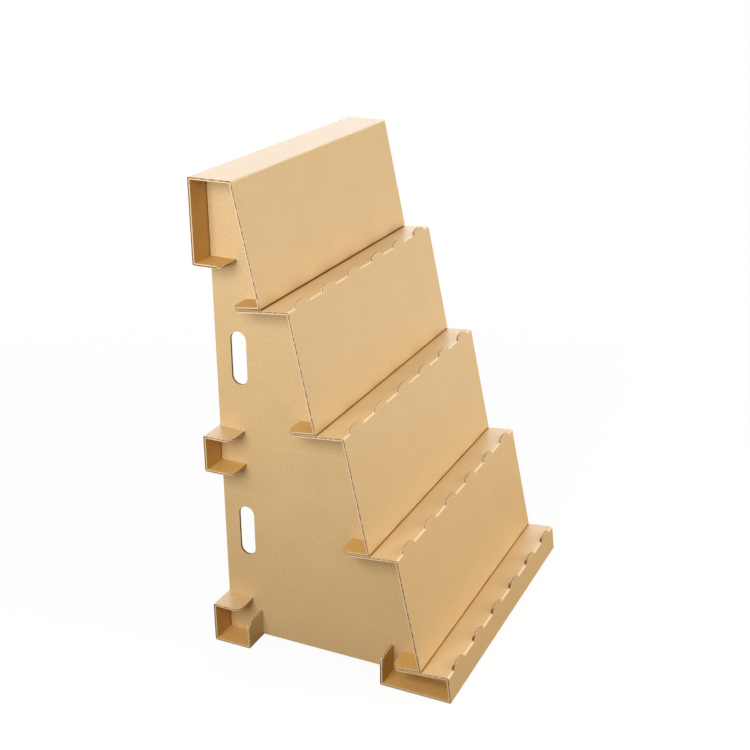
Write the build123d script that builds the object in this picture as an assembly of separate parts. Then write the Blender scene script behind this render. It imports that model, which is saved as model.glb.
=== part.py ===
from build123d import *
import math
import os

# A counter stand for postcards, folded from single wall corrugated board.
# Millimetres. The front faces -Y, the length runs along X and Z is up from the table.

# Board and its cutting
board = 3.6                # thickness over both liners
fold_radius = 2.4          # outside of a scored fold
corner_radius = 13.0       # free corners of tabs, flanges and upstands
slit_play = 0.4            # play of a half lap, in all

# Folded sheets
length = 480.0             # every folded sheet, end to end
overhang = 39.5            # sheet end to the outer face of a side panel
tier_count = 3             # tier sheets between the top cap and the front tray
tier_rise = 173.0          # height of a sloping front
slope_run = 37.0           # how far a sloping front leans back
shelf_depth = 42.0         # open part of a shelf
shelf_rise = 4.0           # a shelf climbs this much towards its front edge
flange_depth = 46.0        # tabs and flanges, from the fold to the free edge

# Top cap
top_depth = 67.3           # flat top
cap_back = 122.0           # back web of the cap

# Front tray and rear box
lip_height = 42.0          # front lip of the tray
lip_lean = 4.8             # the lip leans back this much
tray_depth = 111.0         # base of the tray
box_depth = 61.6           # base of the rear box
box_height = 63.6          # back web of the rear box
upstand_height = 45.5      # upstands at the inner ends of both bases

# Rear brace
brace_bottom = 286.3       # lower face of the brace above the table
brace_height = 56.5        # back web of the brace

# Card stops
lug_count = 6              # lugs along every shelf edge
lug_length = 39.0
lug_height = 7.4

# Hand holes of a side panel
hole_height = 80.0
hole_width = 25.0
hole_inset = 42.0          # back face of the stand to the centre of a hole
hole_levels = (178.5, 454.0)

# Derived sizes
slope_count = tier_count + 1
step_back = shelf_depth + slope_run
step_up = tier_rise - shelf_rise
depth = lip_lean + slope_count * step_back + top_depth
height = lip_height + slope_count * step_up
front = -depth / 2
back = depth / 2
panel_outside = length / 2 - overhang
panel_middle = panel_outside - board / 2
flange_lap = flange_depth / 2
upstand_lap = upstand_height / 2
shelf_slant = math.hypot(shelf_depth, shelf_rise)
rearward = (shelf_depth / shelf_slant, -shelf_rise / shelf_slant)
upward = (-rearward[1], rearward[0])


def unit(start, end):
    """Direction from one point of the side view to another."""
    run = end[0] - start[0]
    rise = end[1] - start[1]
    span = math.hypot(run, rise)
    return (run / span, rise / span)


def along(point, direction, distance):
    """A point moved along a direction of the side view."""
    return (point[0] + direction[0] * distance, point[1] + direction[1] * distance)


def shelf_front(level):
    """Front edge of a shelf, counted from the tray upwards."""
    return (front + lip_lean + level * step_back, lip_height + level * step_up)


def shelf_back(level):
    """Line where the sloping front above meets a shelf."""
    return along(shelf_front(level), rearward, shelf_slant)


def tab_end(level):
    """Free edge of a shelf's hidden tab, and of the flange that lies on it."""
    return along(shelf_back(level), rearward, flange_depth)


def inside(path):
    """Inner face of a sheet whose outer face is the path, to the left of it."""
    points = []
    normals = []
    for start, end in zip(path, path[1:]):
        heading = unit(start, end)
        normals.append((-heading[1], heading[0]))
    for index, point in enumerate(path):
        before = normals[max(index - 1, 0)]
        after = normals[min(index, len(normals) - 1)]
        mitre = board / (1 + before[0] * after[0] + before[1] * after[1])
        points.append(along(point, (before[0] + after[0], before[1] + after[1]), mitre))
    return points


# Outer faces of the folded sheets, seen from the side
cap_path = [
    (back - flange_depth, height - cap_back),
    (back, height - cap_back),
    (back, height),
    shelf_front(slope_count),
    shelf_back(slope_count - 1),
    tab_end(slope_count - 1),
]
tier_paths = {}
for tier_level in range(1, slope_count):
    tier_paths[tier_level] = [
        tab_end(tier_level),
        shelf_front(tier_level),
        shelf_back(tier_level - 1),
        tab_end(tier_level - 1),
    ]
tray_path = [
    tab_end(0),
    shelf_front(0),
    (front, 0),
    (front + tray_depth, 0),
    (front + tray_depth, upstand_height),
]
brace_path = [
    (back - flange_depth, brace_bottom),
    (back, brace_bottom),
    (back, brace_bottom + brace_height),
    (back - flange_depth, brace_bottom + brace_height),
]
box_path = [
    (back - box_depth, upstand_height),
    (back - box_depth, 0),
    (back, 0),
    (back, box_height),
    (back - flange_depth, box_height),
]


def slits(corner, end, lap):
    """Half lap slits of one flange, open at its free edge, for both side panels."""
    heading = unit(corner, end)
    inward = (-heading[1], heading[0])
    root = along(corner, heading, lap - slit_play / 2)
    tip = along(end, heading, board)
    outline = Polyline(
        along(root, inward, -2 * board),
        along(tip, inward, -2 * board),
        along(tip, inward, 2 * board),
        along(root, inward, 2 * board),
        close=True,
    )
    blade = extrude(Plane.YZ * make_face(outline), amount=(board + slit_play) / 2, both=True)
    return [Pos(side * panel_middle, 0, 0) * blade for side in (-1, 1)]


def folded_sheet(path, crossings):
    """A sheet folded along X, with rounded free corners and its half lap slits."""
    inner = inside(path)
    faces = FilletPolyline(*path, radius=fold_radius)
    rest = Polyline(path[-1], *reversed(inner), path[0])
    sheet = extrude(Plane.YZ * make_face(faces + rest), amount=length / 2, both=True)
    corners = []
    for outer_point, inner_point in ((path[0], inner[0]), (path[-1], inner[-1])):
        for end in (-length / 2, length / 2):
            middle = ((outer_point[0] + inner_point[0]) / 2, (outer_point[1] + inner_point[1]) / 2)
            corners.append(sheet.edges().sort_by_distance((end, *middle))[0])
    sheet = fillet(corners, corner_radius)
    for corner, end, lap in crossings:
        sheet -= slits(corner, end, lap)
    return sheet


def with_lugs(sheet, path):
    """Lugs cut out of the shelf and left standing in the plane of the front below it."""
    shelf_end, edge, foot = path[0], path[1], path[2]
    back_way = unit(edge, shelf_end)
    up_way = unit(foot, edge)
    arch = EllipticalCenterArc((0, 0), lug_length / 2, lug_height, arc_size=180)
    chord = Polyline((-lug_length / 2, 0), (lug_length / 2, 0))
    root = Polyline(
        (-lug_length / 2, 0),
        (-lug_length / 2, -2 * board),
        (lug_length / 2, -2 * board),
        (lug_length / 2, 0),
    )
    shelf_normal = (0, -back_way[1], back_way[0])
    lug_normal = (0, -up_way[1], up_way[0])
    for index in range(lug_count):
        place = (length * ((index + 0.5) / lug_count - 0.5), *edge)
        shelf_plane = Plane(origin=place, x_dir=(1, 0, 0), z_dir=shelf_normal)
        front_plane = Plane(origin=place, x_dir=(1, 0, 0), z_dir=lug_normal)
        sheet -= extrude(shelf_plane * make_face(arch + chord), amount=board, both=True)
        plate = front_plane * make_face(arch + root)
        sheet += extrude(plate, amount=-board)
    return sheet


def side_outline():
    """Edge of a side panel, fitted inside the folded sheets."""
    tray = inside(tray_path)
    cap = inside(cap_path)
    play = slit_play / 2
    points = [tray[2], tray[1]]
    for level in range(slope_count):
        if level < tier_count:
            tier = inside(tier_paths[level + 1])
            foot, head = tier[2], tier[1]
        else:
            foot, head = cap[4], cap[3]
        slot_end = along(shelf_back(level), rearward, flange_lap + play)
        points.append(along(slot_end, upward, -board))
        points.append(along(slot_end, upward, board + play))
        points.append(along(foot, unit(foot, head), play))
        points.append(head)
    points.append(cap[2])
    edge = back - board
    root = back - flange_lap - play
    for lower in (
        height - cap_back,
        brace_bottom + brace_height - board,
        brace_bottom,
        box_height - board,
    ):
        points.append((edge, lower + board + play))
        points.append((root, lower + board + play))
        points.append((root, lower))
        points.append((edge, lower))
    points.append((edge, board))
    for wall in (back - box_depth + board, front + tray_depth):
        points.append((wall + play, board))
        points.append((wall + play, upstand_lap + play))
        points.append((wall - board - play, upstand_lap + play))
        points.append((wall - board - play, board))
    return Polyline(*points, close=True)


def side_panel(side):
    """An upright side panel with two hand holes; side is -1 on the left and 1 on the right."""
    blank = make_face(side_outline())
    for level in hole_levels:
        blank -= Pos(back - hole_inset, level) * SlotOverall(hole_height, hole_width, rotation=90)
    return extrude(Plane.YZ.offset(side * panel_middle) * blank, amount=board / 2, both=True)


parts = {
    "left_side_panel": side_panel(-1),
    "right_side_panel": side_panel(1),
    "top_cap": folded_sheet(
        cap_path,
        [
            (cap_path[1], cap_path[0], flange_lap),
            (cap_path[4], cap_path[5], flange_lap),
        ],
    ),
    "front_base_tray": with_lugs(
        folded_sheet(
            tray_path,
            [
                (shelf_back(0), tab_end(0), flange_lap),
                (tray_path[3], tray_path[4], upstand_lap),
            ],
        ),
        tray_path,
    ),
    "rear_middle_brace": folded_sheet(
        brace_path,
        [
            (brace_path[1], brace_path[0], flange_lap),
            (brace_path[2], brace_path[3], flange_lap),
        ],
    ),
    "rear_base_box": folded_sheet(
        box_path,
        [
            (box_path[1], box_path[0], upstand_lap),
            (box_path[3], box_path[4], flange_lap),
        ],
    ),
}
tier_names = {1: "lower_tier_sheet", 2: "middle_tier_sheet", 3: "upper_tier_sheet"}
for tier_level, tier_name in tier_names.items():
    tier_path = tier_paths[tier_level]
    parts[tier_name] = with_lugs(
        folded_sheet(
            tier_path,
            [
                (shelf_back(tier_level), tab_end(tier_level), flange_lap),
                (tier_path[2], tier_path[3], flange_lap),
            ],
        ),
        tier_path,
    )

os.makedirs("parts", exist_ok=True)
for node, part in parts.items():
    export_step(part, f"parts/{node}.step")
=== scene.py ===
"""A stepped postcard stand of corrugated board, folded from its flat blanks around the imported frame."""

import math
from bisect import bisect_right

import bmesh
import bpy
from bpy.props import FloatProperty, FloatVectorProperty, IntProperty, PointerProperty
from mathutils import Matrix, Vector


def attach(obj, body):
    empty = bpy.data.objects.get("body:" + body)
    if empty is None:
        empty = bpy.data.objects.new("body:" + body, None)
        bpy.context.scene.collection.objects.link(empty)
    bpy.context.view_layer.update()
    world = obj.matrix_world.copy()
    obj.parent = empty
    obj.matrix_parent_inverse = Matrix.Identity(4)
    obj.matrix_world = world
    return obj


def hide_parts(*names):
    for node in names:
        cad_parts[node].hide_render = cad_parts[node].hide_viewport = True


bl_info = {
    "name": "Cardboard display stand",
    "version": (1, 0, 0),
    "blender": (4, 5, 0),
    "location": "3D View > Sidebar > Display stand",
    "description": "Folds a stepped postcard stand from corrugated board, with flutes, lugs and half laps",
    "category": "Object",
}

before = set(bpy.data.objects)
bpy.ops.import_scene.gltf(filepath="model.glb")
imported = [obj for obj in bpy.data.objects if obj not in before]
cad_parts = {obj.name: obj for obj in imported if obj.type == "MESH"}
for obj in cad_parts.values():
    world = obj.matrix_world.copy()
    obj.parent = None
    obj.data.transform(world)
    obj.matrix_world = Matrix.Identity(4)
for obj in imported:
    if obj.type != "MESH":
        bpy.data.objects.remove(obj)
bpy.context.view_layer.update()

BODY = "root"
TIER_NODES = {1: "lower_tier_sheet", 2: "middle_tier_sheet", 3: "upper_tier_sheet"}

# Fineness of the meshes
WELD = 2e-6                # points nearer than this are one point
SNAP = 7                   # decimals kept of a place on a blank
LINER_STEPS = 4            # parts of a rounded fold in a liner
MEDIUM_STEPS = 2           # the same in the fluted medium
CORNER_STEPS = 8           # parts of a rounded free corner
ARCH_STEPS = 28            # parts of a lug's arch
HOLE_STEPS = 24            # parts of a hand hole's rounded end
FLUTE_STEPS = 12           # parts of one flute
FLUTE_PRESS = 1.02         # flutes are this much too high, so that they press into both liners
SHARP_ANGLE = math.radians(33)

# Marks of folds and cuts: folds are above 0 where paler from rubbing, with a painted highlight, and below 0
# where creased, with painted shade
PLAIN = (0.0, 0.0)         # outer and inner face without a mark
CREASE_SHADED = -1.0
FOLD_EDGE = 0.55           # rubbing and painted highlight at both sides of a fold, where its middle has 1
CUT, SHADED_CUT = 1.0, -1.0      # cut faces: pale, or painted dark as shade
RIM_REACH = 0.51           # a cut face this near a hand hole's middle, in hole widths, is on its rim

# Grains of the paper: stretch on the blank, scale, detail and roughness of the noise
GRAINS = {
    "clouds": ((1.0, 1.3, 1.0), 16.0, 2.0, 0.5),
    "mottle": ((0.8, 1.0, 1.0), 400.0, 3.0, 0.65),
    "fibres": ((0.3, 1.0, 1.0), 1700.0, 3.0, 0.65),
    "flecks": ((0.7, 1.0, 1.0), 620.0, 1.0, 0.5),
    "flutes": ((0.6, 1.0, 1.0), 420.0, 4.0, 0.6),
    "end_light": ((0.0, 1.0, 1.0), 130.0, 3.0, 0.6),
}
# What each grain adds to the tone of a liner: range of the noise, and range of the tone
TONES = {
    "clouds": ((0.3, 0.7), (-0.08, 0.08)),
    "mottle": ((0.3, 0.7), (0.1, 0.9)),
    "fibres": ((0.25, 0.75), (-0.22, 0.22)),
}
FLECK_NOISE, FLECK_COVER, FLECK_SHADE = (0.64, 0.76), (0.0, 0.6), 0.6
RUB_LIGHT_NOISE, RUB_LIGHT_LEAST = (0.25, 0.7), 0.45      # grain that keeps part of a fold from the paleness of rubbing and the painted highlight
ROUGH_NOISE, ROUGH_PLAY = (0.3, 0.7), 0.05    # roughness wanders this much with the mottle
FLUTE_NOISE, FLUTE_SHADE = (0.3, 0.7), 0.8
END_LIGHT_NOISE = (0.46, 0.62)
MARK_COVER = 0.9           # how far painted shade in creases and on cut faces hides the paper's own colour
MEDIUM_ROUGHNESS, MEDIUM_GLOSS = 0.8, 0.1

# Soft boxes: width, height, place and the point they face
LAMPS = {
    "left": (1.0, 0.9, (-1.40, 0.08, 1.02), (-0.2, 0.05, 0.45)),
    "front": (1.4, 1.2, (0.45, -1.75, 0.74), (0.0, 0.0, 0.36)),
    "overhead": (1.6, 1.6, (0.0, 0.0, 2.4), (0.0, 0.0, 0.3)),
    "rear": (3.0, 1.6, (2.2, 1.0, 1.4), (0.0, 0.0, 0.45)),
}
SWEEP_REACH = 14.0         # half the width of the floor
SWEEP_DROP = 0.0004        # floor below the stand
SENSOR = 36.0              # width of the camera's sensor in millimetres
WHITE = (1.0, 1.0, 1.0, 1.0)


def span(label, note, default):
    """A length that a user may change."""
    return FloatProperty(
        name=label, description=note, default=default, min=0.0, precision=5, unit="LENGTH"
    )


def tint(label, note, default):
    """A colour that a user may change."""
    return FloatVectorProperty(
        name=label, description=note, default=default, size=3, min=0.0, max=1.0, subtype="COLOR"
    )


def share(label, note, default):
    """A plain number between 0 and 1 that a user may change."""
    return FloatProperty(
        name=label, description=note, default=default, min=0.0, max=1.0, subtype="FACTOR"
    )


def watts(label, note, default):
    """A lamp's power that a user may change."""
    return FloatProperty(name=label, description=note, default=default, min=0.0, unit="POWER")


class BoardSizes(bpy.types.PropertyGroup):
    """The corrugated board and how it is cut and folded."""

    thickness: span("Thickness", "Board over both liners", 0.0036)
    liner: span("Liner", "Paper of one facing", 0.0004)
    medium: span("Medium", "Paper of the flutes, swollen where it was cut", 0.0010)
    flute_pitch: span("Flute pitch", "From one flute to the next", 0.080 / 11)
    fold_radius: span("Fold radius", "Outside of a scored fold", 0.0024)
    crease_radius: span("Crease radius", "Inside of a scored fold", 0.0004)
    fold_margin: span("Fold margin", "Strip beside a fold that shows its wear", 0.0022)
    corner_radius: span("Corner radius", "Free corners of tabs, flanges and upstands", 0.013)
    slit_play: span("Slit play", "Play of a half lap, in all", 0.0004)
    # Over this length the cut faces at both ends of a tray lug get painted shade.
    lug_shade: span("Lug tear", "Frayed ends of the tray's lugs, along the shelf", 0.0055)
    cap_spring: span("Cap spring", "Gap under the cap's lower fold, which springs off its shelf", 0.0012)
    tier_spring: span("Tier spring", "Gap under a tier's lower fold", 0.0003)
    panel_gap: span("Panel gap", "Play between a side panel and the webs and top around it", 0.0012)


class StandSizes(bpy.types.PropertyGroup):
    """The stand's own sizes."""

    length: span("Length", "Every folded sheet, end to end", 0.480)
    overhang: span("Overhang", "Sheet end to the outer face of a side panel", 0.0395)
    tier_rise: span("Tier rise", "Height of a sloping front", 0.173)
    slope_run: span("Slope run", "How far a sloping front leans back", 0.037)
    shelf_depth: span("Shelf depth", "Open part of a shelf", 0.042)
    shelf_rise: span("Shelf rise", "Climb of a shelf towards its front edge", 0.004)
    flange_depth: span("Flange depth", "Tabs and flanges, from the fold to the free edge", 0.046)
    top_depth: span("Top depth", "Flat top of the cap", 0.0673)
    cap_back: span("Cap back", "Back web of the cap", 0.122)
    lip_height: span("Lip height", "Front lip of the tray", 0.042)
    lip_lean: span("Lip lean", "How far the lip leans back", 0.0048)
    tray_depth: span("Tray depth", "Base of the tray", 0.111)
    box_depth: span("Box depth", "Base of the rear box", 0.0616)
    box_height: span("Box height", "Back web of the rear box", 0.0636)
    upstand_height: span("Upstand height", "Upstands at the inner ends of both bases", 0.0455)
    brace_bottom: span("Brace bottom", "Lower face of the brace above the table", 0.2863)
    brace_height: span("Brace height", "Back web of the brace", 0.0565)
    lug_count: IntProperty(name="Lugs", description="Lugs along every shelf edge", default=6, min=1)
    lug_length: span("Lug length", "Lug along the shelf edge", 0.039)
    lug_height: span("Lug height", "Lug above the shelf edge", 0.0074)
    hole_height: span("Hole height", "Hand hole, upright", 0.080)
    hole_width: span("Hole width", "Hand hole, across", 0.025)
    hole_inset: span("Hole inset", "Back of the stand to the middle of a hand hole", 0.042)
    hole_low: span("Lower hole", "Middle of the lower hand hole above the table", 0.1785)
    hole_high: span("Upper hole", "Middle of the upper hand hole above the table", 0.454)


class PaperLook(bpy.types.PropertyGroup):
    """Colours and gloss of the paper, and the colours of the highlight and shade painted on it."""

    liner: tint("Outer liner", "Kraft paper of the outer face", (0.680, 0.465, 0.222))
    liner_deep: tint("Outer shade", "Darker fibres of the outer face", (0.525, 0.342, 0.150))
    inner: tint("Inner liner", "Kraft paper of the inner face", (0.690, 0.406, 0.125))
    inner_deep: tint("Inner shade", "Darker fibres of the inner face", (0.525, 0.291, 0.077))
    edge: tint("Cut edge", "Paper where it was cut", (0.745, 0.555, 0.345))
    # Colour of folds: paler from rubbing, with a painted highlight on their outside.
    worn_highlight: tint("Worn fold", "Rubbed outside of a fold", (0.850, 0.690, 0.500))
    medium: tint("Medium", "Paper of the flutes", (0.385, 0.180, 0.058))
    # Colour of painted shade in creases: inside folds, under feet and along the lines where sheets stand.
    crease_shade: tint("Crease", "Pinched inside of a fold", (0.435, 0.162, 0.018))
    # Colour of painted shade on cut faces: both ends of the tray's lugs and around the hand holes.
    cut_shade: tint("Torn edge", "Ends of the tray's lugs and rims of the hand holes", (0.170, 0.055, 0.016))
    # Depth of the pale streaks of painted light at the ends of the flutes.
    end_light: span("Fray", "Depth of the frayed ends of the flutes", 0.005)
    # How strong both the paleness of rubbing and the painted highlight on folds are.
    wear_and_shading: share("Fold wear", "How far a fold is rubbed", 0.62)
    roughness: share("Roughness", "Roughness of the facings", 0.44)
    gloss: share("Outer gloss", "Gloss of the outer face", 0.66)
    inner_gloss: share("Inner gloss", "Gloss of the inner face", 0.15)


class StudioLook(bpy.types.PropertyGroup):
    """Floor, light and camera."""

    floor: tint("Floor", "Paper sweep under the stand", (0.90, 0.90, 0.90))
    bounce: tint("Floor bounce", "Floor as the stand is lit by it", (0.16, 0.12, 0.07))
    floor_glow: share("Floor white", "Share of plain white in the floor near the stand", 0.90)
    floor_near: span("Floor near", "Distance at which the floor starts to turn plain white", 0.5)
    floor_far: span("Floor far", "Distance from which the floor is plain white", 1.8)
    dome: FloatProperty(name="Dome", description="Light from all around", default=0.34, min=0.0)
    dome_tint: tint("Dome colour", "Warm light from all around", (1.0, 0.80, 0.55))
    lamp_tint: tint("Lamp colour", "Cool light of the left, overhead and rear lamps", (0.84, 0.91, 1.0))
    front_tint: tint("Front colour", "Light of the front lamp", (0.965, 0.985, 1.0))
    left: watts("Left", "Soft light on the left, near the camera", 24.0)
    front: watts("Front", "Soft light before the sloping fronts", 29.0)
    overhead: watts("Overhead", "Soft light above the stand", 11.7)
    rear: watts("Rear", "Soft light behind the stand, on its right", 34.2)
    camera_place: FloatVectorProperty(
        name="Camera",
        description="Place of the camera",
        default=(-1.5927, -0.7114, 1.0794),
        size=3,
        subtype="TRANSLATION",
        unit="LENGTH",
    )
    camera_turn: FloatVectorProperty(
        name="Camera turn",
        description="Turn round the stand, height angle and roll of the camera",
        default=(math.radians(-64.911), math.radians(21.834), math.radians(-0.336)),
        size=3,
        subtype="EULER",
    )
    camera_lens: FloatProperty(
        name="Lens", description="Focal length", default=59.332, min=1.0, unit="CAMERA"
    )


# Side view: every point is (y, z), and a sheet's inside is on the left of its outer path.


def unit(start, end):
    """Direction from one point to another."""
    run, rise = end[0] - start[0], end[1] - start[1]
    reach = math.hypot(run, rise)
    return (run / reach, rise / reach)


def along(point, direction, distance):
    """A point moved along a direction."""
    return (point[0] + direction[0] * distance, point[1] + direction[1] * distance)


def left_of(direction):
    """The direction a quarter turn to the left."""
    return (-direction[1], direction[0])


def between(start, end, part):
    """A point part of the way from one point to another."""
    return (start[0] + (end[0] - start[0]) * part, start[1] + (end[1] - start[1]) * part)


def turn_at(before, after):
    """Angle of a left turn from one direction to the next."""
    return math.atan2(
        before[0] * after[1] - before[1] * after[0],
        before[0] * after[0] + before[1] * after[1],
    )


def rounded(corner, before, after, radius, steps):
    """Points of a rounded corner, from the end of one straight to the start of the next."""
    turn = turn_at(before, after)
    normal = left_of(before)
    centre = along(along(corner, before, -radius * math.tan(turn / 2)), normal, radius)
    points = []
    for step in range(steps + 1):
        cosine, sine = math.cos(turn * step / steps), math.sin(turn * step / steps)
        spoke = (normal[0] * cosine - normal[1] * sine, normal[0] * sine + normal[1] * cosine)
        points.append(along(centre, spoke, -radius))
    return points


class Layout:
    """Sizes that follow from the settings, and the outer paths of the folded sheets."""

    def __init__(self, scene):
        self.board = board = scene.stand_board
        self.size = size = scene.stand_sizes
        self.thick = board.thickness
        self.slopes = len(TIER_NODES) + 1
        self.step_back = size.shelf_depth + size.slope_run
        self.step_up = size.tier_rise - size.shelf_rise
        depth = size.lip_lean + self.slopes * self.step_back + size.top_depth
        self.height = size.lip_height + self.slopes * self.step_up
        self.front, self.back = -depth / 2, depth / 2
        self.flange = self.back - size.flange_depth
        self.panel_middle = size.length / 2 - size.overhang - self.thick / 2
        self.slant = math.hypot(size.shelf_depth, size.shelf_rise)
        self.rearward = (size.shelf_depth / self.slant, -size.shelf_rise / self.slant)
        self.flange_slit = (size.flange_depth + board.slit_play) / 2
        self.upstand_slit = (size.upstand_height + board.slit_play) / 2

    def shelf_front(self, level):
        """Front edge of a shelf, counted from the tray upwards."""
        return (
            self.front + self.size.lip_lean + level * self.step_back,
            self.size.lip_height + level * self.step_up,
        )

    def shelf_back(self, level):
        """Line where the sloping front above meets a shelf."""
        return along(self.shelf_front(level), self.rearward, self.slant)

    def foot(self, level, spring):
        """Lower fold of a sloping front, a little above the shelf it stands on."""
        low = self.shelf_back(level)
        return along(low, unit(low, self.shelf_front(level + 1)), spring)

    def tab_end(self, level):
        """Free edge of a shelf's hidden tab, and of the flange that lies on it."""
        return along(self.shelf_back(level), self.rearward, self.size.flange_depth)

    def cap_path(self):
        """Rear flange, back web, flat top, sloping front and lower flange of the cap."""
        low, last = self.height - self.size.cap_back, self.slopes - 1
        return [
            (self.flange, low),
            (self.back, low),
            (self.back, self.height),
            self.shelf_front(self.slopes),
            self.foot(last, self.board.cap_spring),
            self.tab_end(last),
        ]

    def tier_path(self, level):
        """Tab and shelf, sloping front and lower flange of a tier sheet."""
        return [
            self.tab_end(level),
            self.shelf_front(level),
            self.foot(level - 1, self.board.tier_spring),
            self.tab_end(level - 1),
        ]

    def tray_path(self):
        """Tab and shelf, lip, base and upstand of the front tray."""
        wall = self.front + self.size.tray_depth
        return [
            self.tab_end(0),
            self.shelf_front(0),
            (self.front, 0.0),
            (wall, 0.0),
            (wall, self.size.upstand_height),
        ]

    def brace_path(self):
        """Lower flange, back web and upper flange of the rear brace."""
        low = self.size.brace_bottom
        high = low + self.size.brace_height
        return [(self.flange, low), (self.back, low), (self.back, high), (self.flange, high)]

    def box_path(self):
        """Upstand, base, back web and top flange of the rear box."""
        wall, high = self.back - self.size.box_depth, self.size.box_height
        return [
            (wall, self.size.upstand_height),
            (wall, 0.0),
            (self.back, 0.0),
            (self.back, high),
            (self.flange, high),
        ]

    def inside(self, path):
        """Inner face of a sheet whose outer face is the path."""
        normals = [left_of(unit(start, end)) for start, end in zip(path, path[1:])]
        points = []
        for index, point in enumerate(path):
            before = normals[max(index - 1, 0)]
            after = normals[min(index, len(normals) - 1)]
            mitre = self.thick / (1 + before[0] * after[0] + before[1] * after[1])
            points.append(along(point, (before[0] + after[0], before[1] + after[1]), mitre))
        return points

    def side_loop(self):
        """Edge of a side panel, fitted inside the folded sheets."""
        size, thick, play, gap = self.size, self.thick, self.board.slit_play / 2, self.board.panel_gap
        tray, cap = self.inside(self.tray_path()), self.inside(self.cap_path())
        upward = left_of(self.rearward)
        points = [tray[2], tray[1]]
        for level in range(self.slopes):
            if level + 1 < self.slopes:
                tier = self.inside(self.tier_path(level + 1))
                foot, head, spring = tier[2], tier[1], self.board.tier_spring
            else:
                foot, head, spring = cap[4], cap[3], self.board.cap_spring
            slot = along(self.shelf_back(level), self.rearward, size.flange_depth / 2 + play)
            points.append(along(slot, upward, -thick))
            points.append(along(slot, upward, thick + play + spring / 2))
            points.append(along(foot, unit(foot, head), play))
            points.append(head)
        points[-1] = along(points[-1], unit(head, foot), gap)
        points.append((cap[2][0] - gap, cap[2][1] - gap))
        edge = self.back - thick - gap
        root = self.back - size.flange_depth / 2 - play
        flanges = (
            self.height - size.cap_back,
            size.brace_bottom + size.brace_height - thick,
            size.brace_bottom,
            size.box_height - thick,
        )
        for low in flanges:
            high = low + thick + play
            points += [(edge, high), (root, high), (root, low), (edge, low)]
        points.append((edge, thick))
        top = size.upstand_height / 2 + play
        for wall in (self.back - size.box_depth + thick, self.front + size.tray_depth):
            near, far = wall + play, wall - thick - play
            points += [(near, thick), (near, top), (far, top), (far, thick)]
        return points

    def hole_loop(self, level):
        """A hand hole, rounded at both ends."""
        radius = self.size.hole_width / 2
        middle = self.back - self.size.hole_inset
        reach = self.size.hole_height / 2 - radius
        points = []
        for end, start in ((reach, 0.0), (-reach, math.pi)):
            for step in range(HOLE_STEPS + 1):
                angle = start + math.pi * step / HOLE_STEPS
                points.append((middle + radius * math.cos(angle), level + end + radius * math.sin(angle)))
        return points


# Blanks: every point is (u, v), u along the sheet and v along its outer face, across the folds.


class Bend:
    """Lines through the thickness of a bent blank, which carry any place on it into space."""

    def __init__(self, lines, start=0.0):
        self.outer, self.inner, self.marks = zip(*lines)
        self.rows = [start]
        for before, after in zip(self.outer, self.outer[1:]):
            self.rows.append(self.rows[-1] + math.dist(before, after))

    def locate(self, v):
        """The line before a place, and how far it is to the next one."""
        index = min(max(bisect_right(self.rows, v) - 1, 0), len(self.rows) - 2)
        low, high = self.rows[index], self.rows[index + 1]
        return index, (v - low) / (high - low)

    def ends(self, v):
        """Points of the outer and the inner face."""
        index, part = self.locate(v)
        return [between(face[index], face[index + 1], part) for face in (self.outer, self.inner)]

    def place(self, u, v, depth):
        """Place in space, with depth 0 on the outer face and 1 on the inner one."""
        return (u, *between(*self.ends(v), depth))

    def across(self, v):
        """Direction through the board."""
        return (0.0, *unit(*self.ends(v)))

    def wear_and_shading(self, v):
        """Marks of the outer and the inner face: rubbing with a painted highlight, and painted shade in
        creases.
        """
        index, part = self.locate(v)
        return between(self.marks[index], self.marks[index + 1], part)


class Upright:
    """A flat panel across the length, whose blank is the side view."""

    def __init__(self, near, thick):
        self.near = near
        self.thick = thick

    def place(self, u, v, depth):
        return (self.near + self.thick * depth, u, v)

    def across(self, v):
        return (1.0, 0.0, 0.0)

    def wear_and_shading(self, v):
        return PLAIN


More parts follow.
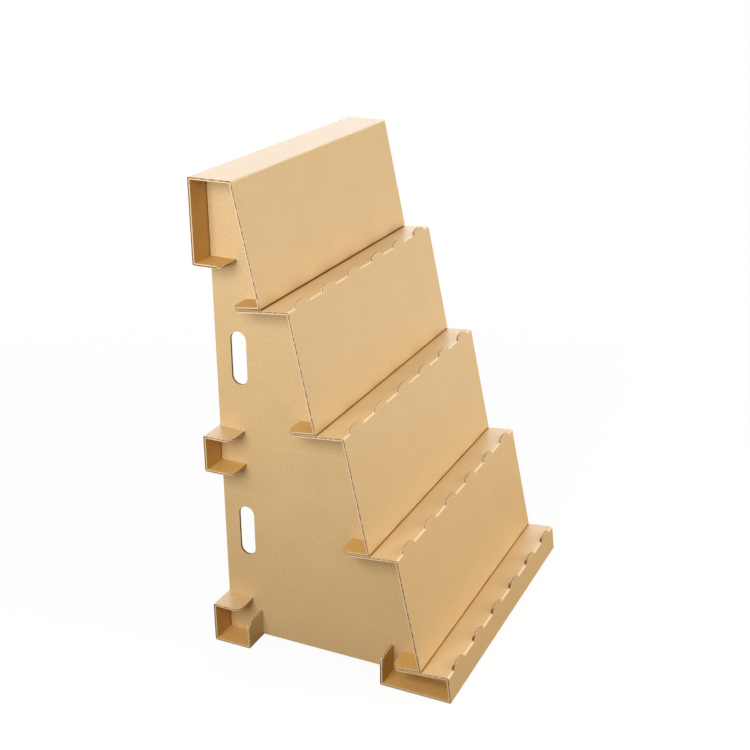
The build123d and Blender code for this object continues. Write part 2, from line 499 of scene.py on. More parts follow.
def bend_path(layout, path, foot, seat, steps):
    """The bend of a folded sheet, and the rows where the rounding of its first fold starts and ends.

    The fold numbered foot stands on a shelf, so it gets painted shade where it meets the shelf, and not the
    paleness of rubbing and painted highlight that the others get.
    Seat is the distance before the first fold at which another sheet stands on this one; a line of painted
    shade is laid there.
    """
    board, thick, margin = layout.board, layout.thick, layout.board.fold_margin
    inner_path = layout.inside(path)
    lines = [(path[0], inner_path[0], PLAIN)]
    # Painted shade along the line where another sheet stands on this one.
    if seat:
        heading = unit(path[0], path[1])
        for distance, mark in ((seat + margin, CREASE_SHADED), (seat, CREASE_SHADED), (seat - margin / 2, 0.0)):
            outer = along(path[1], heading, -distance)
            lines.append((outer, along(outer, left_of(heading), thick), (mark, 0.0)))
    first = len(lines) + 2
    for index in range(1, len(path) - 1):
        corner = path[index]
        before, after = unit(path[index - 1], corner), unit(corner, path[index + 1])
        side = (thick + board.crease_radius) * math.tan(turn_at(before, after) / 2)
        arc = rounded(corner, before, after, board.fold_radius, steps)
        outer = [along(corner, before, -side), *arc, along(corner, after, side)]
        inner = rounded(inner_path[index], before, after, board.crease_radius, steps + 2)
        parts = [step / steps for step in range(steps + 1)]
        # The foot gets painted shade on the half of its rounding that faces the shelf; other folds get the
        # paleness of rubbing with a painted highlight outside, and painted shade inside.
        if index == foot:
            foot_shade = [CREASE_SHADED * max(2 * part - 1, 0.0) for part in parts]
            marks = [PLAIN, *zip(foot_shade, foot_shade), (CREASE_SHADED, CREASE_SHADED)]
        else:
            rubbed_and_lit = [FOLD_EDGE + (1 - FOLD_EDGE) * math.sin(math.pi * part) for part in parts]
            marks = [PLAIN, *((rub_and_light, CREASE_SHADED * rub_and_light) for rub_and_light in rubbed_and_lit), PLAIN]
        lines.append((along(outer[0], before, -margin), along(inner[0], before, -margin), PLAIN))
        lines += zip(outer, inner, marks)
        last = (marks[-1][0], 0.0)
        lines.append((along(outer[-1], after, margin), along(inner[-1], after, margin), last))
    lines.append((path[-1], inner_path[-1], PLAIN))
    bend = Bend(lines)
    return bend, bend.rows[first], bend.rows[first + steps]


def sheet_loop(layout, total, first_slit, last_slit):
    """Outline of a sheet's blank: rounded corners and half lap slits at both free edges."""
    end, radius = layout.size.length / 2, layout.board.corner_radius
    half = (layout.thick + layout.board.slit_play) / 2
    middle = layout.panel_middle
    points = []

    def corner(u, v, start):
        for step in range(CORNER_STEPS + 1):
            angle = start + math.pi / 2 * step / CORNER_STEPS
            points.append((u + radius * math.cos(angle), v + radius * math.sin(angle)))

    corner(-end + radius, radius, math.pi)
    for place in (-middle, middle):
        points.extend([(place - half, 0.0), (place - half, first_slit)])
        points.extend([(place + half, first_slit), (place + half, 0.0)])
    corner(end - radius, radius, -math.pi / 2)
    corner(end - radius, total - radius, 0.0)
    for place in (middle, -middle):
        points.extend([(place + half, total), (place + half, total - last_slit)])
        points.extend([(place - half, total - last_slit), (place - half, total)])
    corner(-end + radius, total - radius, math.pi / 2)
    return points


class Blank:
    """A flat blank cut into faces along given columns and rows."""

    def __init__(self, loops, columns, rows):
        self.points = []
        self.index = {}
        self.faces = []
        edges = []
        stops = {round(column, SNAP) for column in columns}
        for loop in loops:
            loop = [(round(u, SNAP), round(v, SNAP)) for u, v in loop]
            for start, end in zip(loop, loop[1:] + loop[:1]):
                stops.add(start[0])
                if start[0] != end[0]:
                    edges.append((start, end) if start[0] < end[0] else (end, start))
        low = min(start[0] for start, end in edges)
        high = max(end[0] for start, end in edges)
        stops = sorted(stop for stop in stops if low <= stop <= high)
        rows = sorted({round(row, SNAP) for row in rows})
        pieces = []
        marks = [set() for stop in stops]
        for index, (left, right) in enumerate(zip(stops, stops[1:])):
            crossed = []
            for start, end in edges:
                if start[0] <= left and end[0] >= right:
                    crossed.append((self.height(start, end, left), self.height(start, end, right)))
            crossed.sort(key=sum)
            for lower, upper in zip(crossed[::2], crossed[1::2]):
                pieces.append((index, lower, upper))
                for side in (0, 1):
                    marks[index + side].update((lower[side], upper[side]))
        for index, lower, upper in pieces:
            for side in (0, 1):
                first, last = bisect_right(rows, lower[side]), bisect_right(rows, upper[side])
                marks[index + side].update(rows[first:last])
        chains = [sorted(mark) for mark in marks]
        for index, lower, upper in pieces:
            near = [v for v in chains[index] if lower[0] <= v <= upper[0]]
            far = [v for v in chains[index + 1] if lower[1] <= v <= upper[1]]
            self.strip(stops[index], near, stops[index + 1], far)

    @staticmethod
    def height(start, end, u):
        """Where an edge crosses a column."""
        if u == start[0]:
            return start[1]
        if u == end[0]:
            return end[1]
        part = (u - start[0]) / (end[0] - start[0])
        return round(start[1] + (end[1] - start[1]) * part, SNAP)

    def point(self, u, v):
        """Number of the point at a place."""
        if (u, v) not in self.index:
            self.index[(u, v)] = len(self.points)
            self.points.append((u, v))
        return self.index[(u, v)]

    def strip(self, left, near, right, far):
        """Faces between two neighbouring columns."""
        a = b = 0
        while a < len(near) - 1 or b < len(far) - 1:
            up_near = near[a + 1] if a < len(near) - 1 else math.inf
            up_far = far[b + 1] if b < len(far) - 1 else math.inf
            face = [self.point(left, near[a]), self.point(right, far[b])]
            if up_far <= up_near:
                b += 1
                face.append(self.point(right, far[b]))
            if up_near <= up_far:
                a += 1
                face.append(self.point(left, near[a]))
            self.faces.append(face)

    def rim(self):
        """Edges with a face on one side only, with the blank on their left."""
        used = set()
        for face in self.faces:
            used.update(zip(face, face[1:] + face[:1]))
        return [(start, end) for start, end in sorted(used) if (end, start) not in used]


class Shell:
    """Closed layers of paper, gathered into one mesh."""

    def __init__(self):
        self.places = []
        self.blanks = []
        self.fold = []
        self.across = []
        self.inside = []
        self.faces = []
        self.cut = []

    def layer(self, blank, bend, outer, inner, number, inside=0.0, seam=None, cut_shade=None):
        """A layer between two depths, with cut faces along its rim.

        A rim that lies on the seam joins the next mesh, so it has no cut face and no mark of a fold.
        Cut faces get painted shade where the given test says so of their place on the blank.
        """
        count = len(blank.points)
        first = len(self.places)
        rim = blank.rim()
        on_seam = [edge for edge in rim if all(blank.points[end][1] == seam for end in edge)]
        joined = {point for edge in on_seam for point in edge}
        for depth in (outer, inner):
            for index, (u, v) in enumerate(blank.points):
                self.places.append(bend.place(u, v, depth))
                self.blanks.append((u, v, float(number)))
                marks = PLAIN if index in joined else bend.wear_and_shading(v)
                self.fold.append({0.0: marks[0], 1.0: marks[1]}.get(depth, 0.0))
                self.across.append(bend.across(v))
                self.inside.append(inside)
        for face in blank.faces:
            self.faces.append([first + index for index in reversed(face)])
            self.faces.append([first + count + index for index in face])
            self.cut += [0.0, 0.0]
        for start, end in rim:
            if start in joined and end in joined:
                continue
            self.faces.append([first + start, first + end, first + count + end, first + count + start])
            # Cut faces that the test picks are painted dark, as shade.
            painted = cut_shade is not None and cut_shade(*between(blank.points[start], blank.points[end], 0.5))
            self.cut.append(SHADED_CUT if painted else CUT)

    def mesh(self, name):
        """The gathered layers as a mesh with its attributes."""
        mesh = bpy.data.meshes.new(name)
        mesh.from_pydata(self.places, [], self.faces)
        for label, vectors in (("blank", self.blanks), ("across", self.across)):
            data = mesh.attributes.new(label, "FLOAT_VECTOR", "POINT").data
            data.foreach_set("vector", [value for vector in vectors for value in vector])
        mesh.attributes.new("fold", "FLOAT", "POINT").data.foreach_set("value", self.fold)
        mesh.attributes.new("inside", "FLOAT", "POINT").data.foreach_set("value", self.inside)
        mesh.attributes.new("cut", "FLOAT", "FACE").data.foreach_set("value", self.cut)
        return mesh


# Nodes


def feed(tree, socket, value):
    """Gives a socket a link or a plain value."""
    if isinstance(value, bpy.types.NodeSocket):
        tree.links.new(value, socket)
    else:
        socket.default_value = value


def add(tree, kind, settings=None, *values, **inputs):
    """A node with its settings, and links or plain values for its inputs, in order or by name."""
    node = tree.nodes.new(kind)
    for name, value in (settings or {}).items():
        setattr(node, name, value)
    for index, value in enumerate(values):
        feed(tree, node.inputs[index], value)
    for name, value in inputs.items():
        feed(tree, node.inputs[name.replace("_", " ")], value)
    return node


def calc(tree, operation, *values):
    """Links or numbers put through an operation."""
    return add(tree, "ShaderNodeMath", {"operation": operation}, *values).outputs[0]


def ranged(tree, value, source, target=(0.0, 1.0)):
    """A value carried from one range to another, held at its ends."""
    return add(tree, "ShaderNodeMapRange", None, value, *source, *target).outputs[0]


def blend_colours(tree, part, first, second):
    """One colour over another; each is a colour or a link."""
    node = add(tree, "ShaderNodeMix", {"data_type": "RGBA"}, part)
    for index, colour in ((6, first), (7, second)):
        linked = isinstance(colour, bpy.types.NodeSocket)
        feed(tree, node.inputs[index], colour if linked else (*colour, 1.0))
    return node.outputs[2]


def mix_shaders(tree, part, first, second):
    """One shader over another."""
    return add(tree, "ShaderNodeMixShader", None, part, first, second).outputs["Shader"]


def bare(owner):
    """The emptied node tree of a material or a world."""
    owner.use_nodes = True
    owner.node_tree.nodes.clear()
    return owner.node_tree


def kept(name, make):
    """A node tree or material made once and used again."""
    for store in (bpy.data.node_groups, bpy.data.materials):
        if name in store:
            return store[name]
    return make(name)


# Geometry node trees


def tree_with(name, inputs):
    """A geometry node tree with named inputs, and the sockets of its group input."""
    tree = bpy.data.node_groups.new(name, "GeometryNodeTree")
    for label, kind in {"Geometry": "Geometry", **inputs, "Material": "Material"}.items():
        tree.interface.new_socket(label, in_out="INPUT", socket_type=f"NodeSocket{kind}")
    tree.interface.new_socket("Geometry", in_out="OUTPUT", socket_type="NodeSocketGeometry")
    return tree, add(tree, "NodeGroupInput").outputs


def close_tree(tree, geometry, source):
    """Ends a tree with plain geometry of one material."""
    real = add(tree, "GeometryNodeRealizeInstances", Geometry=geometry).outputs["Geometry"]
    paint = add(tree, "GeometryNodeSetMaterial", Geometry=real, Material=source["Material"])
    add(tree, "NodeGroupOutput", Geometry=paint.outputs["Geometry"])


def row_tree(name):
    """Repeats one lug along a shelf edge."""
    tree, source = tree_with(name, {"Count": "Int", "Start": "Vector", "Step": "Vector"})
    line = add(
        tree,
        "GeometryNodeMeshLine",
        Count=source["Count"],
        Start_Location=source["Start"],
        Offset=source["Step"],
    )
    lug = source["Geometry"]
    row = add(tree, "GeometryNodeInstanceOnPoints", Points=line.outputs["Mesh"], Instance=lug)
    close_tree(tree, row.outputs["Instances"], source)
    return tree


def flute_tree(name):
    """Waves a flat layer of paper through the thickness of the board."""
    tree, source = tree_with(name, {"Run": "Vector", "Pitch": "Float", "Height": "Float"})
    place = add(tree, "GeometryNodeInputPosition").outputs["Position"]
    along_run = add(tree, "ShaderNodeVectorMath", {"operation": "DOT_PRODUCT"}, place, source["Run"])
    count = calc(tree, "DIVIDE", along_run.outputs["Value"], source["Pitch"])
    wave = calc(tree, "COSINE", calc(tree, "MULTIPLY", count, 2 * math.pi))
    rise = calc(tree, "MULTIPLY", wave, source["Height"])
    across = add(tree, "GeometryNodeInputNamedAttribute", {"data_type": "FLOAT_VECTOR"}, "across")
    way = across.outputs["Attribute"]
    offset = add(tree, "ShaderNodeVectorMath", {"operation": "SCALE"}, way, Scale=rise).outputs["Vector"]
    waved_paper = add(tree, "GeometryNodeSetPosition", Geometry=source["Geometry"], Offset=offset)
    close_tree(tree, waved_paper.outputs["Geometry"], source)
    return tree


def through_tree(mesh, tree, values):
    """The plain mesh that a node tree makes of a mesh."""
    holder = bpy.data.objects.new(mesh.name, mesh)
    bpy.context.scene.collection.objects.link(holder)
    modifier = holder.modifiers.new(tree.name, "NODES")
    modifier.node_group = tree
    for item in tree.interface.items_tree:
        if item.in_out == "INPUT" and item.name in values:
            modifier[item.identifier] = values[item.name]
    graph = bpy.context.evaluated_depsgraph_get()
    result = bpy.data.meshes.new_from_object(
        holder.evaluated_get(graph), preserve_all_data_layers=True, depsgraph=graph
    )
    holder.modifiers.remove(modifier)
    bpy.data.objects.remove(holder)
    bpy.data.meshes.remove(mesh)
    return result


# Paper


def mark_of(tree, name):
    """The sockets of a mark that the mesh carries."""
    return add(tree, "ShaderNodeAttribute", {"attribute_name": name}).outputs


def grain(tree, blank, kind):
    """One of the paper's grains, laid on the blank."""
    stretch, scale, detail, rough = GRAINS[kind]
    scaled = add(tree, "ShaderNodeMapping", Vector=blank, Scale=stretch).outputs["Vector"]
    noise = add(tree, "ShaderNodeTexNoise", Vector=scaled, Scale=scale, Detail=detail, Roughness=rough)
    return noise.outputs["Fac"]


def shaded(colour, part):
    """A darker colour of the same hue."""
    return [part * value for value in colour]


def paper_material(name):
    """An empty paper material, its node tree and the blank's coordinates."""
    material = bpy.data.materials.new(name)
    tree = bare(material)
    return material, tree, mark_of(tree, "blank")["Vector"]


def close_paper(tree, **inputs):
    """Ends a paper material with its shader."""
    shader = add(tree, "ShaderNodeBsdfPrincipled", **inputs)
    add(tree, "ShaderNodeOutputMaterial", Surface=shader.outputs["BSDF"])


def cut_colour(tree, colour, look):
    """Pale paper on cut faces, and painted shade on the cut faces marked for it."""
    cut = mark_of(tree, "cut")["Fac"]
    colour = blend_colours(tree, ranged(tree, cut, (0.0, CUT)), colour, look.edge)
    return blend_colours(tree, ranged(tree, cut, (SHADED_CUT, 0.0), (MARK_COVER, 0.0)), colour, look.cut_shade)


def liner_material(name):
    """Kraft facing: fibres, mottling and flecks; folds paler from rubbing, with a painted highlight; painted
    shade in creases and on some cut faces; pale cut edges.
    """
    look = bpy.context.scene.stand_paper
    material, tree, blank = paper_material(name)
    fold = mark_of(tree, "fold")["Fac"]
    inside = mark_of(tree, "inside")["Fac"]
    grains = {kind: grain(tree, blank, kind) for kind in ("clouds", "mottle", "fibres", "flecks")}
    mottle = grains["mottle"]
    clouds, spots, threads = (ranged(tree, grains[kind], *TONES[kind]) for kind in TONES)
    tone = calc(tree, "ADD", calc(tree, "ADD", clouds, spots), threads)
    outer_colour = blend_colours(tree, tone, look.liner_deep, look.liner)
    inner_colour = blend_colours(tree, tone, look.inner_deep, look.inner)
    colour = blend_colours(tree, inside, outer_colour, inner_colour)
    dark = ranged(tree, grains["flecks"], FLECK_NOISE, FLECK_COVER)
    colour = blend_colours(tree, dark, colour, shaded(look.liner_deep, FLECK_SHADE))
    # Painted shade in creases, where the fold mark is below 0; there the paper also loses its gloss.
    crease_shading = ranged(tree, fold, (CREASE_SHADED, 0.0), (MARK_COVER, 0.0))
    colour = blend_colours(tree, crease_shading, colour, look.crease_shade)
    # Folds paler from rubbing, with a painted highlight, where the fold mark is above 0.
    spared = ranged(tree, mottle, RUB_LIGHT_NOISE, (RUB_LIGHT_LEAST * look.wear_and_shading, look.wear_and_shading))
    rub_and_light = calc(tree, "MULTIPLY", ranged(tree, fold, (0.0, 1.0)), spared)
    colour = blend_colours(tree, rub_and_light, colour, look.worn_highlight)
    gloss = ranged(tree, inside, (0.0, 1.0), (look.gloss, look.inner_gloss))
    crease_free = ranged(tree, crease_shading, (0.0, MARK_COVER), (1.0, 0.0))
    roughness = (look.roughness - ROUGH_PLAY, look.roughness + ROUGH_PLAY)
    height = calc(tree, "ADD", mottle, grains["fibres"])
    bump = add(tree, "ShaderNodeBump", Strength=0.2, Distance=0.00015, Height=height)
    close_paper(
        tree,
        Base_Color=cut_colour(tree, colour, look),
        Specular_IOR_Level=calc(tree, "MULTIPLY", gloss, crease_free),
        Roughness=ranged(tree, mottle, ROUGH_NOISE, roughness),
        Normal=bump.outputs["Normal"],
    )
    return material


def medium_material(name):
    """Recycled paper of the flutes, darker and duller than the facing, with pale streaks of painted light at
    the sheet's ends.
    """
    look = bpy.context.scene.stand_paper
    end = bpy.context.scene.stand_sizes.length / 2
    material, tree, blank = paper_material(name)
    tone = ranged(tree, grain(tree, blank, "flutes"), FLUTE_NOISE)
    colour = blend_colours(tree, tone, shaded(look.medium, FLUTE_SHADE), look.medium)
    # Painted light: pale streaks on the flute paper near the sheet's ends, where its open flutes would lie in
    # shade.
    place = add(tree, "ShaderNodeSeparateXYZ", None, blank).outputs["X"]
    near_end = ranged(tree, calc(tree, "ABSOLUTE", place), (end - look.end_light, end))
    light_dashes = ranged(tree, grain(tree, blank, "end_light"), END_LIGHT_NOISE)
    colour = blend_colours(tree, calc(tree, "MULTIPLY", near_end, light_dashes), colour, look.edge)
    close_paper(
        tree,
        Base_Color=cut_colour(tree, colour, look),
        Specular_IOR_Level=MEDIUM_GLOSS,
        Roughness=MEDIUM_ROUGHNESS,
    )
    return material


def papers():
    """The materials of the facings and of the flutes."""
    return kept("kraft liner", liner_material), kept("flute paper", medium_material)


# Pieces


def finish_piece(name, node, layers):
    """Joins the layers of a piece, welds their seams and ties the piece to the frame."""
    work = bmesh.new()
    materials = []
    for mesh, material in layers:
        if material not in materials:
            materials.append(material)
        first = len(work.faces)
        work.from_mesh(mesh)
        work.faces.ensure_lookup_table()
        for face in work.faces[first:]:
            face.material_index = materials.index(material)
            face.smooth = True
        bpy.data.meshes.remove(mesh)
    bmesh.ops.remove_doubles(work, verts=work.verts, dist=WELD)
    open_edges = sum(1 for edge in work.edges if len(edge.link_faces) == 1)
    if open_edges:
        raise RuntimeError(f"{name} has {open_edges} open edges")
    mesh = bpy.data.meshes.new(name)
    work.to_mesh(mesh)
    work.free()
    for material in materials:
        mesh.materials.append(material)
    mesh.set_sharp_from_angle(angle=SHARP_ANGLE)
    piece = bpy.data.objects.new(name, mesh)
    bpy.context.scene.collection.objects.link(piece)
    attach(piece, BODY)
    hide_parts(node)
    return piece


def flute_columns(pitch, low, high):
    """Columns that follow the flutes between two places."""
    step = pitch / FLUTE_STEPS
    return [index * step for index in range(math.ceil(low / step), math.floor(high / step) + 1)]


def medium_depths(board):
    """Depths of the flat medium before it is waved."""
    half = board.medium / board.thickness / 2
    return 0.5 - half, 0.5 + half


def waved(mesh, board, run, material):
    """The flat medium waved along a direction."""
    height = (board.thickness / 2 - board.liner - board.medium / 2) * FLUTE_PRESS
    values = {"Run": run, "Pitch": board.flute_pitch, "Height": height, "Material": material}
    return through_tree(mesh, kept("flutes", flute_tree), values)


def arch(layout):
    """A lug's arch: distances from its middle along the fold, and above the fold."""
    half, high = layout.size.lug_length / 2, layout.size.lug_height
    angles = [math.pi * step / ARCH_STEPS for step in range(ARCH_STEPS + 1)]
    return [(-half * math.cos(angle), high * math.sin(angle)) for angle in angles]


def lug_loop(layout, tangent, seam):
    """Outline of one lug on the blank: an arch above the seam, on the sloping front's own line."""
    points = [(offset, seam - tangent - rise) for offset, rise in arch(layout)]
    half = layout.size.lug_length / 2
    return [(half, seam), *reversed(points), (-half, seam)]


def lug_hole(layout, middle, tangent, start, seam):
    """The hole a lug leaves in the shelf, from its arch to the sloping front."""
    points = []
    for offset, rise in arch(layout):
        if rise > tangent:
            row = start - (rise - tangent)
        else:
            row = seam - (seam - start) * rise / tangent
        points.append((middle + offset, row))
    return points


def lug_bend(layout, bend, path, tangent, seam):
    """The lug's lines through the board, down to the seam it shares with the sheet."""
    up = unit(path[2], path[1])
    inward = left_of(unit(path[1], path[2]))
    base, inner_base = bend.ends(seam)
    lines = []
    for rise in (tangent + layout.size.lug_height, tangent):
        outer = along(base, up, rise)
        lines.append((outer, along(outer, inward, layout.thick), PLAIN))
    lines.append((base, inner_base, PLAIN))
    return Bend(lines, seam - tangent - layout.size.lug_height)


def folded_board(name, node, path, slits, foot=None, lugs=False, cut_shade=None):
    """A folded sheet: two facings and the fluted medium, with a row of lugs along its first fold if asked."""
    layout = Layout(bpy.context.scene)
    board, size = layout.board, layout.size
    liner, paper = papers()
    end, step = size.length / 2, size.length / size.lug_count
    row = {"Count": size.lug_count, "Start": (step / 2 - end, 0.0, 0.0), "Step": (step, 0.0, 0.0)}
    middles = [(index + 0.5) * step - end for index in range(size.lug_count)] if lugs else []
    flutes = flute_columns(board.flute_pitch, -end, end)
    facing = board.liner / board.thickness
    turn = turn_at(unit(path[0], path[1]), unit(path[1], path[2]))
    tangent = board.fold_radius * math.tan(turn / 2)
    layers = []
    for steps, columns, material in ((LINER_STEPS, [], liner), (MEDIUM_STEPS, flutes, paper)):
        bend, start, seam = bend_path(layout, path, foot, layout.slant if lugs else None, steps)
        seam = round(seam, SNAP)
        outline = sheet_loop(layout, bend.rows[-1], *slits)
        # A slit or corner that falls on a lug gives every lug a column, because all lugs are one mesh.
        offsets = {u - middle for u, v in outline for middle in middles}
        nearby = [offset for offset in offsets if abs(offset) < size.lug_length / 2]
        shared = columns + [middle + offset for middle in middles for offset in nearby]
        holes = [lug_hole(layout, middle, tangent, start, seam) for middle in middles]
        shells = [(Blank([outline, *holes], shared, bend.rows), bend, None)]
        if lugs:
            local = [column - middles[0] for column in columns] + nearby
            own = Blank([lug_loop(layout, tangent, seam)], local, [seam - tangent])
            shells.append((own, lug_bend(layout, bend, path, tangent, seam), cut_shade))
        meshes = []
        for flat, shape, limit in shells:
            shell = Shell()
            if columns:
                shell.layer(flat, shape, *medium_depths(board), 2, 0.0, seam, limit)
            else:
                shell.layer(flat, shape, 0.0, facing, 0, 0.0, seam, limit)
                shell.layer(flat, shape, 1.0 - facing, 1.0, 1, 1.0, seam, limit)
            meshes.append(shell.mesh(f"{name}_layer"))
        if lugs:
            values = {**row, "Material": material}
            meshes[1] = through_tree(meshes[1], kept("lug row", row_tree), values)
        if columns:
            meshes = [waved(mesh, board, (1.0, 0.0, 0.0), material) for mesh in meshes]
        layers += [(mesh, material) for mesh in meshes]
    piece = finish_piece(name, node, layers)
    # Each lug takes its own place on the blank, so that no two have the same grain.
    for point, vertex in zip(piece.data.attributes["blank"].data, piece.data.vertices):
        point.vector = (vertex.co.x, point.vector[1], point.vector[2])


def upright_board(name, node, side):
    """A side panel: two facings and upright flutes, with its slots and hand holes."""
    layout = Layout(bpy.context.scene)
    board, size = layout.board, layout.size
    liner, paper = papers()
    shape = Upright(side * layout.panel_middle - layout.thick / 2, layout.thick)
    loops = [layout.side_loop()]
    loops += [layout.hole_loop(level) for level in (size.hole_low, size.hole_high)]
    facing = board.liner / board.thickness
    middle = layout.back - size.hole_inset

    # Cut faces near the hand holes' middle line, their rims above all, get painted shade.
    def cut_shade(u, v):
        return abs(u - middle) < RIM_REACH * size.hole_width

    faces = Shell()
    flat = Blank(loops, [], [])
    faces.layer(flat, shape, 0.0, facing, 3 + side, max(side, 0), None, cut_shade)
    faces.layer(flat, shape, 1.0 - facing, 1.0, 4 + side, max(-side, 0), None, cut_shade)
    waves = Shell()
    columns = flute_columns(board.flute_pitch, layout.front, layout.back)
    waves.layer(Blank(loops, columns, []), shape, *medium_depths(board), 5, 0.0, None, cut_shade)
    medium = waved(waves.mesh(f"{name}_flutes"), board, (0.0, 1.0, 0.0), paper)
    finish_piece(name, node, [(faces.mesh(f"{name}_faces"), liner), (medium, paper)])


class STAND_OT_side_panels(bpy.types.Operator):
    """Cut both side panels"""

    bl_idname = "stand.side_panels"
    bl_label = "Side panels"

    def execute(self, context):
        upright_board("left_side_board", "left_side_panel", -1)
        upright_board("right_side_board", "right_side_panel", 1)
        return {"FINISHED"}


class STAND_OT_top_cap(bpy.types.Operator):
    """Fold the top cap with its back web and first sloping front"""

    bl_idname = "stand.top_cap"
    bl_label = "Top cap"

    def execute(self, context):
        layout = Layout(context.scene)
        slits = (layout.flange_slit, layout.flange_slit)
        folded_board("top_cap_board", "top_cap", layout.cap_path(), slits, foot=4)
        return {"FINISHED"}


class STAND_OT_tier_sheets(bpy.types.Operator):
    """Fold the three tier sheets with their lugs"""

    bl_idname = "stand.tier_sheets"
    bl_label = "Tier sheets"

    def execute(self, context):
        layout = Layout(context.scene)
        slits = (layout.flange_slit, layout.flange_slit)
        for level, node in TIER_NODES.items():
            name = node.replace("_sheet", "_board")
            folded_board(name, node, layout.tier_path(level), slits, foot=2, lugs=True)
        return {"FINISHED"}


class STAND_OT_front_tray(bpy.types.Operator):
    """Fold the front tray with its lugs"""

    bl_idname = "stand.front_tray"
    bl_label = "Front tray"

    def execute(self, context):
        layout = Layout(context.scene)
        slits = (layout.flange_slit, layout.upstand_slit)
        unshaded_reach = layout.size.lug_length / 2 - layout.board.lug_shade

        # Cut faces near both ends of each lug get painted shade.
        def cut_shade(u, v):
            return abs(u) > unshaded_reach

        path = layout.tray_path()
        folded_board("front_tray_board", "front_base_tray", path, slits, lugs=True, cut_shade=cut_shade)
        return {"FINISHED"}


class STAND_OT_rear_channels(bpy.types.Operator):
    """Fold the rear brace and the rear box"""

    bl_idname = "stand.rear_channels"
    bl_label = "Rear brace and box"

    def execute(self, context):
        layout = Layout(context.scene)
        slits = (layout.flange_slit, layout.flange_slit)
        folded_board("rear_brace_board", "rear_middle_brace", layout.brace_path(), slits)
        slits = (layout.upstand_slit, layout.flange_slit)
        folded_board("rear_box_board", "rear_base_box", layout.box_path(), slits)
        return {"FINISHED"}


# Studio


def seen_white(tree, path, mirrored):
    """Rays that are to find plain white: straight ones, mirrored ones and ones through a clear thing."""
    seen = calc(tree, "MAXIMUM", path["Is Camera Ray"], mirrored)
    return calc(tree, "MAXIMUM", seen, path["Is Transmission Ray"])


def floor_material(look):
    """A white sweep that keeps the stand's shadow and turns plain white with distance."""
    material = bpy.data.materials.new("white sweep")
    tree = bare(material)
    bounce = add(tree, "ShaderNodeBsdfDiffuse", Color=(*look.bounce, 1.0)).outputs["BSDF"]
    matt = add(tree, "ShaderNodeBsdfDiffuse", Color=(*look.floor, 1.0)).outputs["BSDF"]
    white = add(tree, "ShaderNodeEmission", Color=WHITE, Strength=1.0).outputs["Emission"]
    place = add(tree, "ShaderNodeTexCoord").outputs["Object"]
    distance = add(tree, "ShaderNodeVectorMath", {"operation": "LENGTH"}, place).outputs["Value"]
    far = ranged(tree, distance, (look.floor_near, look.floor_far))
    path = add(tree, "ShaderNodeLightPath").outputs
    # Reflections see the floor near the stand in its darker bounce colour, a painted shadow, and plain white
    # farther out.
    seen = seen_white(tree, path, calc(tree, "MULTIPLY", path["Is Glossy Ray"], far))
    shown = mix_shaders(tree, ranged(tree, far, (0.0, 1.0), (look.floor_glow, 1.0)), matt, white)
    add(tree, "ShaderNodeOutputMaterial", Surface=mix_shaders(tree, seen, bounce, shown))
    return material


def soft_light(name, look):
    """A soft box that faces the stand."""
    width, height, place, aim = LAMPS[name]
    lamp = bpy.data.lights.new(name, "AREA")
    lamp.color = look.front_tint if name == "front" else look.lamp_tint
    lamp.shape = "RECTANGLE"
    lamp.size, lamp.size_y = width, height
    lamp.energy = getattr(look, name)
    light = bpy.data.objects.new(name, lamp)
    light.location = place
    light.rotation_euler = (Vector(aim) - Vector(place)).to_track_quat("-Z", "Y").to_euler()
    light.visible_camera = False
    light.visible_glossy = name != "front"    # it would glare on the top as seen from behind
    bpy.context.scene.collection.objects.link(light)


def white_world(look):
    """Even warm light, plain white where the camera and reflections see it."""
    world = bpy.data.worlds.new("white room")
    tree = bare(world)
    dome = add(tree, "ShaderNodeBackground", Color=(*look.dome_tint, 1.0), Strength=look.dome)
    white = add(tree, "ShaderNodeBackground", Color=WHITE, Strength=1.0)
    path = add(tree, "ShaderNodeLightPath").outputs
    seen = seen_white(tree, path, path["Is Glossy Ray"])
    room = mix_shaders(tree, seen, dome.outputs["Background"], white.outputs["Background"])
    add(tree, "ShaderNodeOutputWorld", Surface=room)
    return world


def photo_camera(look):
    """The camera at the picture's place and angle."""
    turn, lift, roll = look.camera_turn
    back = Vector((math.sin(turn) * math.cos(lift), -math.cos(turn) * math.cos(lift), math.sin(lift)))
    right = Vector((math.cos(turn), math.sin(turn), 0.0))
    up = back.cross(right)
    rolled_right = right * math.cos(roll) + up * math.sin(roll)
    rolled_up = up * math.cos(roll) - right * math.sin(roll)
    data = bpy.data.cameras.new("photo camera")
    data.sensor_fit = "HORIZONTAL"
    data.sensor_width = SENSOR
    data.lens = look.camera_lens
    camera = bpy.data.objects.new("photo camera", data)
    axes = Matrix((rolled_right, rolled_up, back)).transposed()
    camera.matrix_world = Matrix.Translation(look.camera_place) @ axes.to_4x4()
    bpy.context.scene.collection.objects.link(camera)
    return camera


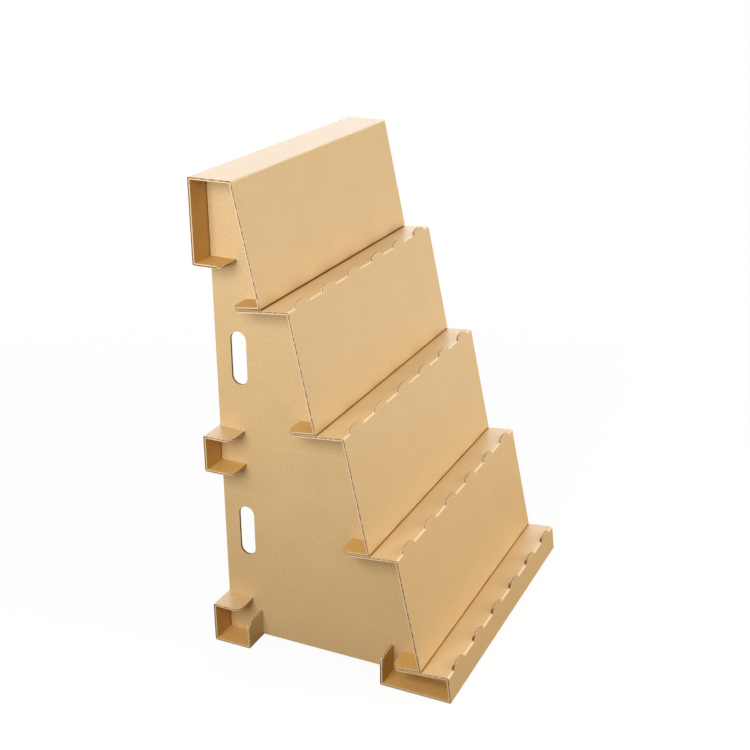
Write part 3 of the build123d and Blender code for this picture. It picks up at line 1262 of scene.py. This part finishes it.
class STAND_OT_studio(bpy.types.Operator):
    """Lay the floor, set the lights and place the camera"""

    bl_idname = "stand.studio"
    bl_label = "Studio"

    def execute(self, context):
        scene = context.scene
        look = scene.stand_studio
        sweep = bpy.data.meshes.new("sweep")
        corners = [(-1, -1), (1, -1), (1, 1), (-1, 1)]
        places = [(SWEEP_REACH * x, SWEEP_REACH * y, -SWEEP_DROP) for x, y in corners]
        sweep.from_pydata(places, [], [(0, 1, 2, 3)])
        sweep.materials.append(floor_material(look))
        floor = bpy.data.objects.new("sweep", sweep)
        scene.collection.objects.link(floor)
        scene.world = white_world(look)
        for name in LAMPS:
            soft_light(name, look)
        scene.camera = photo_camera(look)
        scene.view_settings.view_transform = "Standard"
        return {"FINISHED"}


class STAND_PT_panel(bpy.types.Panel):
    """The stand's steps, in the order they are run, and its settings"""

    bl_idname = "STAND_PT_panel"
    bl_label = "Display stand"
    bl_space_type = "VIEW_3D"
    bl_region_type = "UI"
    bl_category = "Display stand"

    def draw(self, context):
        for step in STEPS:
            self.layout.operator(step.bl_idname)
        for name in SETTINGS:
            box = self.layout.box()
            group = getattr(context.scene, name)
            for key in group.__annotations__:
                box.prop(group, key)


STEPS = (
    STAND_OT_side_panels,
    STAND_OT_top_cap,
    STAND_OT_tier_sheets,
    STAND_OT_front_tray,
    STAND_OT_rear_channels,
    STAND_OT_studio,
)
SETTINGS = {
    "stand_board": BoardSizes,
    "stand_sizes": StandSizes,
    "stand_paper": PaperLook,
    "stand_studio": StudioLook,
}


def register():
    for name, group in SETTINGS.items():
        bpy.utils.register_class(group)
        setattr(bpy.types.Scene, name, PointerProperty(type=group))
    for step in (*STEPS, STAND_PT_panel):
        bpy.utils.register_class(step)


def unregister():
    for step in (STAND_PT_panel, *reversed(STEPS)):
        bpy.utils.unregister_class(step)
    for name, group in SETTINGS.items():
        delattr(bpy.types.Scene, name)
        bpy.utils.unregister_class(group)


def main():
    register()
    bpy.ops.stand.side_panels()
    bpy.ops.stand.top_cap()
    bpy.ops.stand.tier_sheets()
    bpy.ops.stand.front_tray()
    bpy.ops.stand.rear_channels()
    bpy.ops.stand.studio()


if __name__ == "__main__":
    main()
